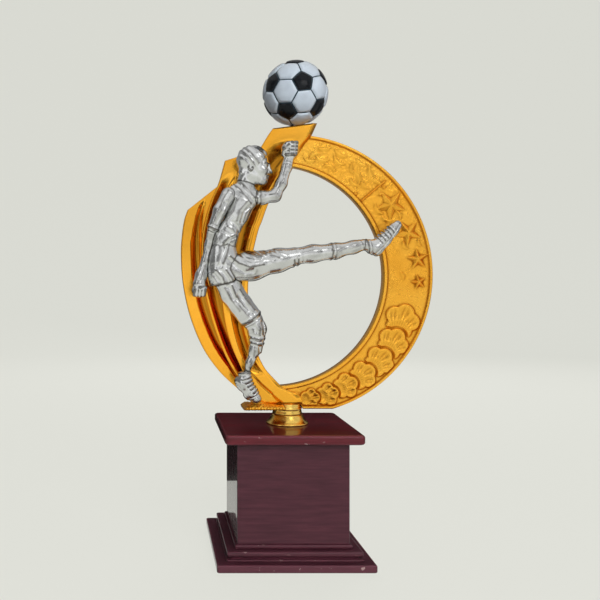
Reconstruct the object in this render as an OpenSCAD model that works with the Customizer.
// Figure trophy: a football player kicking in front of a gold ring and three fanned blades,
// with a football on top, on a lacquered wood plinth.
// The origin is the centre of the underside. +Z is up and the player's side faces -Y.

/* [Plinth] */
// Side of the lowest slab
slab_side = 125; // [120:1:135]
// Side of the moulded step
step_side = 107.5; // [100:0.5:110]
// Side of the pillar
pillar_side = 90; // [84:0.5:92]
// Side of the cap
cap_side = 110.5; // [104:0.5:116]
// Height of the pillar
pillar_h = 80.8; // [60:0.2:120]
// Thickness of the pillar's boards
board_t = 10; // [8:1:14]

/* [Fixings] */
// Diameter of the threaded rod
rod_d = 6; // [5:1:8]
// Distance from the plinth's middle to the rod
rod_x = 2.5; // [0:0.5:4]

/* [Gold work] */
// Outer radius of the ring
ring_r = 118.8; // [118:0.1:119.5]
// Radius of the ring's opening
opening_r = 93.8; // [93:0.1:94.5]
// Thickness of the ring
ring_t = 11; // [10:1:12]
// Thickness of one blade
blade_t = 5.5; // [5:0.5:5.5]
// Depth of a blade's flute
flute_d = 2.4; // [1:0.2:3]

/* [Football] */
// Radius of the football
ball_r = 27.4; // [24:0.1:28]

/* [Hidden] */
$fn = 64;
big = 400;

// Heights of the plinth's layers
felt_t = 0.6;
slab_top = 6.7;
cove_z = 8.2;
tier_z = 10.5;
step_top = 14.3;
pillar_z = 17.6;
cap_z = pillar_z + pillar_h;
cap_top = cap_z + 7.7;
felt_side = slab_side - 8;
cove_side = step_side - 6;
bead_side = pillar_side + 4;
block_side = 14;
block_c = pillar_side / 2 - board_t - block_side / 2;

// Nut recess and screws
recess_r = 11;
recess_z = 9;
washer_t = 1.6;
nut_h = 5;
nut_af = 10;
screw_r = 1.75;
screw_l = 30;
screw_head_r = 3.6;

// Levels of the neck, measured up from the cap
flange_z = cap_top + 4.8;
bevel_z = cap_top + 8.3;
collar_z = cap_top + 13.2;
neck_top = cap_top + 17.6;
rod_top = neck_top + 8;

// Centres of the ring's two circles, on X and Z
ring_c = [6.5, cap_top + 126.9];
opening_c = [-9.7, cap_top + 126.1];
ring_foot = 4.7;
mound_t = 2.8;
rim_w = 3;
panel_d = 1.2;
panel_x = 26;

// Layers from front to back: inner blade, then middle and ring, then outer
front_y = -ring_t / 2 - blade_t;
back_y = ring_t / 2;

// Small fixings of the gold work
brace_screw_r = 1.5;
rivet_r = 1.4;
rivet_in = 1.1;

// Football
ball_c = [7.9, front_y + blade_t / 2, cap_top + 279.9];
ball_wall = 2.5;
stud_r = 1.5;

// ---- Shared shapes ----

// Points on the arc from a to b that passes through m
function arc3(a, m, b, n = 24) =
    let (
        d = 2 * (a[0] * (m[1] - b[1]) + m[0] * (b[1] - a[1]) + b[0] * (a[1] - m[1])),
        aa = a * a,
        mm = m * m,
        bb = b * b,
        cx = (aa * (m[1] - b[1]) + mm * (b[1] - a[1]) + bb * (a[1] - m[1])) / d,
        cy = (aa * (b[0] - m[0]) + mm * (a[0] - b[0]) + bb * (m[0] - a[0])) / d,
        r = norm(a - [cx, cy]),
        ta = atan2(a[1] - cy, a[0] - cx),
        tb = atan2(b[1] - cy, b[0] - cx),
        sweep = (tb - ta + 540) % 360 - 180
    )
    [for (i = [0 : n]) [cx + r * cos(ta + sweep * i / n), cy + r * sin(ta + sweep * i / n)]];

// Stands an X-Z outline up, between two depths
module upright(y0, y1) {
    translate([0, y1, 0])
        rotate([90, 0, 0])
            linear_extrude(y1 - y0)
                children();
}

// Square block with the same moulded profile on all four sides, mitred at its corners
module moulded() {
    intersection() {
        rotate([90, 0, 0])
            linear_extrude(slab_side * 2, center = true)
                children();
        rotate([90, 0, 90])
            linear_extrude(slab_side * 2, center = true)
                children();
    }
}

// Square-cornered plate of side s, from z0 to z1
module plate(s, z0, z1) {
    translate([-s / 2, -s / 2, z0])
        cube([s, s, z1 - z0]);
}

// Profile of a slab whose edges are rounded by r
module slab_profile(s, z0, z1, r) {
    translate([-s / 2 + r, z0])
        square([s - 2 * r, z1 - z0]);
    translate([-s / 2, z0 + r])
        square([s, z1 - z0 - 2 * r]);
    for (x = [-s / 2 + r, s / 2 - r], z = [z0 + r, z1 - r])
        translate([x, z])
            circle(r);
}

// Repeats a shape at the four corners, d from the middle
module at_corners(d) {
    for (x = [-d, d], y = [-d, d])
        translate([x, y, 0])
            children();
}

// Hole that the threaded rod fills, up to the rod's top
module rod_hole() {
    translate([rod_x, 0, -1])
        cylinder(d = rod_d, h = rod_top + 1);
}

// One wood screw with a countersunk head, from the slab's underside up
module wood_screw() {
    translate([0, 0, felt_t])
        cylinder(r1 = screw_head_r, r2 = screw_r, h = 2.6);
    translate([0, 0, felt_t])
        cylinder(r = screw_r, h = screw_l);
}

// Chain of rounded links; each knot is [x, y, z, radius]
module chain(knots) {
    for (i = [0 : len(knots) - 2])
        hull() {
            knot(knots[i]);
            knot(knots[i + 1]);
        }
}

module knot(k) {
    translate([k[0], k[1], k[2]])
        sphere(r = k[3], $fn = 14);
}

// ---- Plinth ----

module base_felt() {
    color("darkgreen")
        plate(felt_side, 0, felt_t);
}

module base_slab() {
    color([0.35, 0.21, 0.24])
        difference() {
            moulded()
                slab_profile(slab_side, felt_t, slab_top, 1.2);
            translate([rod_x, 0, 0])
                cylinder(r = recess_r, h = slab_top + 1);
            at_corners(block_c)
                wood_screw();
        }
}

module step_block() {
    color([0.33, 0.19, 0.22])
        difference() {
            moulded()
                step_profile();
            translate([rod_x, 0, 0])
                cylinder(r = recess_r, h = recess_z);
            rod_hole();
            at_corners(block_c)
                wood_screw();
        }
}

module step_profile() {
    slab_profile(step_side + 1, slab_top, cove_z, 0.7);
    translate([-cove_side / 2, slab_top])
        square([cove_side, step_top - slab_top]);
    slab_profile(step_side, tier_z, step_top, 1);
}

module foot_bead() {
    color([0.3, 0.17, 0.2])
        difference() {
            moulded()
                slab_profile(bead_side, step_top, pillar_z, 1.2);
            rod_hole();
            at_corners(block_c)
                wood_screw();
        }
}

// Boards of the pillar: front and rear run the full width, the side boards fit between them
module pillar_front() {
    color([0.33, 0.2, 0.23])
        translate([-pillar_side / 2, -pillar_side / 2, pillar_z])
            cube([pillar_side, board_t, pillar_h]);
}

module pillar_rear() {
    color([0.33, 0.2, 0.23])
        translate([-pillar_side / 2, pillar_side / 2 - board_t, pillar_z])
            cube([pillar_side, board_t, pillar_h]);
}

module side_board(x) {
    translate([x, -pillar_side / 2 + board_t, pillar_z])
        cube([board_t, pillar_side - 2 * board_t, pillar_h]);
}

module pillar_left() {
    color([0.16, 0.1, 0.1])
        side_board(-pillar_side / 2);
}

module pillar_right() {
    color([0.16, 0.1, 0.1])
        side_board(pillar_side / 2 - board_t);
}

module corner_blocks() {
    color("burlywood")
        difference() {
            at_corners(block_c)
                translate([-block_side / 2, -block_side / 2, pillar_z])
                    cube([block_side, block_side, pillar_h]);
            at_corners(block_c)
                wood_screw();
        }
}

module cap_slab() {
    color([0.3, 0.08, 0.1])
        difference() {
            moulded()
                slab_profile(cap_side, cap_z, cap_top, 1.6);
            rod_hole();
        }
}

module base_screws() {
    color("silver")
        at_corners(block_c)
            wood_screw();
}

// ---- Fixings ----

module tie_rod() {
    color("silver")
        translate([rod_x, 0, felt_t + 0.6])
            cylinder(d = rod_d, h = rod_top - felt_t - 0.6);
}

module rod_washer() {
    color("silver")
        difference() {
            translate([rod_x, 0, recess_z - washer_t])
                cylinder(r = 9, h = washer_t);
            rod_hole();
        }
}

module rod_nut() {
    color("silver")
        difference() {
            translate([rod_x, 0, recess_z - washer_t - nut_h])
                cylinder(d = nut_af / cos(30), h = nut_h, $fn = 6);
            rod_hole();
        }
}

// ---- Gold work ----

module neck_flange() {
    color("gold")
        translate([rod_x, 0, 0])
            rotate_extrude()
                polygon([
                    [rod_d / 2, cap_top],
                    [17.4, cap_top],
                    [17.9, cap_top + 0.6],
                    [17.9, cap_top + 2.6],
                    [17.2, cap_top + 3.6],
                    [15, flange_z],
                    [14.4, bevel_z],
                    [rod_d / 2, bevel_z]
                ]);
}

module neck_collar() {
    color("gold")
        translate([rod_x, 0, 0])
            rotate_extrude()
                polygon([
                    [rod_d / 2, bevel_z],
                    [13.6, bevel_z],
                    [12.4, bevel_z + 1.6],
                    [12.6, bevel_z + 3.4],
                    [12.2, collar_z - 0.6],
                    [11.2, collar_z],
                    [11.4, neck_top - 0.8],
                    [11, neck_top],
                    [rod_d / 2, neck_top]
                ]);
}

module ground_mound() {
    color("goldenrod")
        difference() {
            upright(-26, back_y)
                polygon([
                    [-40.5, neck_top - mound_t],
                    [-37.5, neck_top - 1],
                    [-32, neck_top],
                    [rod_x, neck_top],
                    [rod_x, neck_top - mound_t]
                ]);
            translate([rod_x, 0, 0])
                cylinder(r = 13, h = big);
            translate([-8, -big, 0])
                cube([big, big - 12, big]);
        }
}

// Crescent between the two circles, as an outline
module crescent(inset = 0) {
    difference() {
        translate(ring_c)
            circle(ring_r - inset, $fn = 128);
        translate(opening_c)
            circle(opening_r + inset, $fn = 128);
    }
}

// The ring ends beneath the inner blade, a little left of that blade's inner edge
module ring_cut() {
    polygon(concat(
        arc3([10, neck_top + 228], [-37, neck_top + 101], [-10, neck_top + 8]),
        [[-10, neck_top - 40], [-big, neck_top - 40], [-big, neck_top + big], [10, neck_top + big]]
    ));
}

module ring_outline(inset = 0) {
    difference() {
        crescent(inset);
        ring_cut();
        translate([-big, neck_top - big])
            square([big + rod_x + 12, big]);
        translate([-big, neck_top - ring_foot - big])
            square([2 * big, big]);
    }
}

module ring_band() {
    color("goldenrod")
        difference() {
            upright(-ring_t / 2, ring_t / 2)
                ring_outline();
            upright(-ring_t, -ring_t / 2 + panel_d)
                ring_panel();
            rod_hole();
            brace_holes();
            figure_studs();
        }
}

// Sunk field of the ring, between its two rims
module ring_panel() {
    difference() {
        crescent(rim_w);
        translate([-big, neck_top - big])
            square([big + panel_x, big * 2]);
    }
}

module blade(outline, flute, layer) {
    y = front_y + layer * blade_t;
    difference() {
        upright(y, y + blade_t)
            polygon(outline);
        upright(y - 1, y + flute_d)
            polygon(flute);
        brace_holes();
        blade_rivets();
        figure_studs();
    }
}

function up(p) = [p[0], p[1] + neck_top];

outer_outline = concat(
    arc3(up([-36, 8.4]), up([-81.4, 75.2]), up([-83.3, 164])),
    [up([-69.4, 176.5]), up([-53.2, 188.5]), up([-47, 188.5])],
    arc3(up([-47, 186]), up([-56.5, 120]), up([-26, 12]))
);
outer_flute = concat(
    arc3(up([-40, 18]), up([-72, 75]), up([-74, 145])),
    arc3(up([-71, 146]), up([-66, 75]), up([-37, 18]))
);
middle_outline = concat(
    arc3(up([-30, 10]), up([-71.3, 122]), up([-51, 205])),
    [up([-49, 207]), up([-37.8, 210])],
    arc3(up([-24, 206]), up([-41, 110]), up([-12, 12]))
);
middle_flute = concat(
    arc3(up([-36, 24]), up([-67, 112]), up([-61, 165])),
    arc3(up([-56, 165]), up([-58, 108]), up([-31, 24]))
);
inner_outline = concat(
    [up([-24, 0.1])],
    arc3(up([-22, 8]), up([-55, 105]), up([-19, 221.9])),
    [up([-11, 232]), up([-3.6, 233.8]), up([11.8, 234.2])],
    [up([23.8, 237]), up([26.8, 235.6]), up([21, 224.5])],
    arc3(up([16.1, 219.3]), up([-32, 98]), up([-1, 12.3])),
    arc3(up([9.4, 9.6]), up([13.7, 5]), up([9.6, 0.3]), 8)
);
inner_flute = concat(
    arc3(up([-23, 26]), up([-48, 108]), up([-24, 200])),
    arc3(up([-12, 190]), up([-39.4, 100]), up([-15, 26]))
);

module blade_outer() {
    color("gold")
        blade(outer_outline, outer_flute, 2);
}

module blade_middle() {
    color("gold")
        blade(middle_outline, middle_flute, 1);
}

module blade_inner() {
    color("gold")
        difference() {
            blade(inner_outline, inner_flute, 0);
            stud();
        }
}

// Strap behind the blades and the ring's foot
module rear_brace() {
    color("darkgoldenrod")
        difference() {
            hull() {
                for (p = brace_points)
                    translate([p[0], back_y + 3, p[1]])
                        rotate([90, 0, 0])
                            cylinder(r = brace_end_r, h = 3, $fn = 32);
            }
            brace_holes();
        }
}

// Strap's two ends: behind the outer blade and behind the ring's foot
brace_points = [up([-38, 18.5]), up([14, 4.8])];
brace_end_r = 4.2;

module brace_holes() {
    for (p = brace_points)
        translate([p[0], back_y + 4, p[1]])
            rotate([90, 0, 0])
                cylinder(r = brace_screw_r, h = 10);
}

// Pan-head screws driven from behind
module brace_screws() {
    color("silver")
        for (p = brace_points)
            translate([p[0], back_y + 3, p[1]]) {
                rotate([90, 0, 0])
                    cylinder(r = brace_screw_r, h = 7);
                rotate([-90, 0, 0])
                    cylinder(r = 2.8, h = 1.8);
            }
}

// Rivets that join each blade to the one in front: [x, z, depth of the rear face]
rivet_points = [
    concat(up([-62, 100]), front_y + 3 * blade_t),
    concat(up([-47.8, 100]), front_y + 2 * blade_t)
];

module blade_rivets() {
    color("goldenrod")
        for (p = rivet_points)
            translate([p[0], p[2], p[1]]) {
                rotate([90, 0, 0])
                    cylinder(r = rivet_r, h = blade_t + rivet_in);
                rotate([-90, 0, 0])
                    cylinder(r = 2.4, h = 0.9);
            }
}

// ---- Football ----

module stud() {
    translate([ball_c[0], ball_c[1], ball_c[2] - ball_r - 8])
        cylinder(r = stud_r, h = 14);
}

module ball_stud() {
    color("silver")
        stud();
}

module ball_half(turn) {
    difference() {
        translate(ball_c)
            sphere(ball_r);
        translate(ball_c)
            sphere(ball_r - ball_wall);
        translate(ball_c)
            rotate([turn, 0, 0])
                translate([-big / 2, -big / 2, 0])
                    cube(big);
        stud();
    }
}

module ball_lower() {
    color("white")
        ball_half(0);
}

module ball_upper() {
    color("white")
        ball_half(180);
}

// ---- Figure ----
// Knots of the figure's chains, [x, y, z, radius], with z measured from the neck's top.
// body_y is the depth of the figure's middle plane.
body_y = -21.5;

head_knots = [
    [-30.5, body_y, 203.5, 12],
    [-27.5, body_y, 199.5, 11.5],
    [-26, body_y, 193, 8.5],
    [-31, body_y, 186, 7]
];
torso_knots = [
    [-35.5, body_y, 180, 8],
    [-38.5, body_y, 170, 10.4],
    [-44, body_y, 158, 10.4],
    [-51.4, body_y, 133, 9.8]
];
shoulder_knots = [
    [-47, body_y, 175, 6.6],
    [-38, body_y, 178.5, 7],
    [-29, body_y, 173, 6.4]
];
shorts_knots = [
    [-52.2, body_y, 130, 10.6],
    [-54, body_y, 119, 12],
    [-54.4, body_y, 108, 11.4]
];
raised_knots = [
    [-30, body_y, 173, 6.2],
    [-9, body_y - 2, 174, 5.2],
    [-0.6, body_y - 2, 200, 4.4],
    [0.8, body_y - 2, 211, 7.8]
];
lowered_knots = [
    [-49.5, body_y - 3, 174, 6.4],
    [-63.4, body_y - 5, 146, 5.4],
    [-69.6, body_y - 4, 117, 4],
    [-74, body_y - 4, 96.8, 6]
];
kicking_knots = [
    [-46, body_y, 116, 11.4],
    [-9, body_y, 121.3, 9.2],
    [12, body_y, 125, 7.3],
    [38, body_y, 128.6, 6.4],
    [68, body_y + 2, 134, 4.8]
];
kicking_boot_knots = [
    [71, body_y + 3, 129, 5.4],
    [80, body_y + 4, 139.6, 5],
    [91, body_y + 4, 149, 4]
];
standing_knots = [
    [-51, body_y, 104, 10.6],
    [-39.6, body_y, 84, 9.4],
    [-28.4, body_y, 69, 8.4],
    [-26.6, body_y, 54, 6],
    [-35, body_y + 1, 28, 4.4]
];
standing_boot_knots = [
    [-35.5, body_y + 1, 25, 5.8],
    [-31.5, body_y + 1, 15, 5.6],
    [-26.5, body_y + 1, 5.2, 5]
];

// Everything of the figure stays in front of the inner blade
module placed() {
    difference() {
        translate([0, 0, neck_top])
            children();
        translate([-big / 2, front_y, 0])
            cube([big, big, big]);
    }
}

module torso_form() {
    chain(torso_knots);
    chain(shoulder_knots);
}

module shorts_form() {
    chain(shorts_knots);
}

module silver() {
    color("silver")
        placed()
            children();
}

module head() {
    silver()
        difference() {
            chain(head_knots);
            torso_form();
        }
}

module torso() {
    silver()
        torso_form();
}

module shorts() {
    silver()
        difference() {
            shorts_form();
            torso_form();
        }
}

module raised_arm() {
    silver()
        difference() {
            chain(raised_knots);
            torso_form();
            chain(head_knots);
        }
}

module lowered_arm() {
    silver()
        difference() {
            chain(lowered_knots);
            torso_form();
            shorts_form();
        }
}

module kicking_leg() {
    silver()
        difference() {
            chain(kicking_knots);
            torso_form();
            shorts_form();
        }
}

module kicking_boot() {
    silver()
        difference() {
            chain(kicking_boot_knots);
            chain(kicking_knots);
        }
}

module standing_leg() {
    silver()
        difference() {
            chain(standing_knots);
            shorts_form();
            chain(kicking_knots);
            torso_form();
        }
}

module standing_boot() {
    silver()
        difference() {
            chain(standing_boot_knots);
            chain(standing_knots);
            translate([-big / 2, -big / 2, -big])
                cube(big);
        }
}

// Studs from the figure's back into the ring and the blades
// Each is [x, z above the neck, depth of its rear end]
stud_points = [
    [-40, 155, -ring_t / 2],
    [-46, 119, -ring_t / 2],
    [86, 145, 0]
];

module figure_studs() {
    color("silver")
        for (p = stud_points)
            translate([p[0], p[2], p[1] + neck_top])
                rotate([90, 0, 0])
                    cylinder(r = 1.2, h = body_y * -0.75 + p[2]);
}

base_felt();
base_slab();
step_block();
foot_bead();
pillar_front();
pillar_rear();
pillar_left();
pillar_right();
corner_blocks();
cap_slab();
base_screws();
tie_rod();
rod_washer();
rod_nut();
neck_flange();
neck_collar();
ground_mound();
ring_band();
blade_outer();
blade_middle();
blade_inner();
rear_brace();
brace_screws();
blade_rivets();
ball_stud();
ball_lower();
ball_upper();
head();
torso();
shorts();
raised_arm();
lowered_arm();
kicking_leg();
kicking_boot();
standing_leg();
standing_boot();
figure_studs();
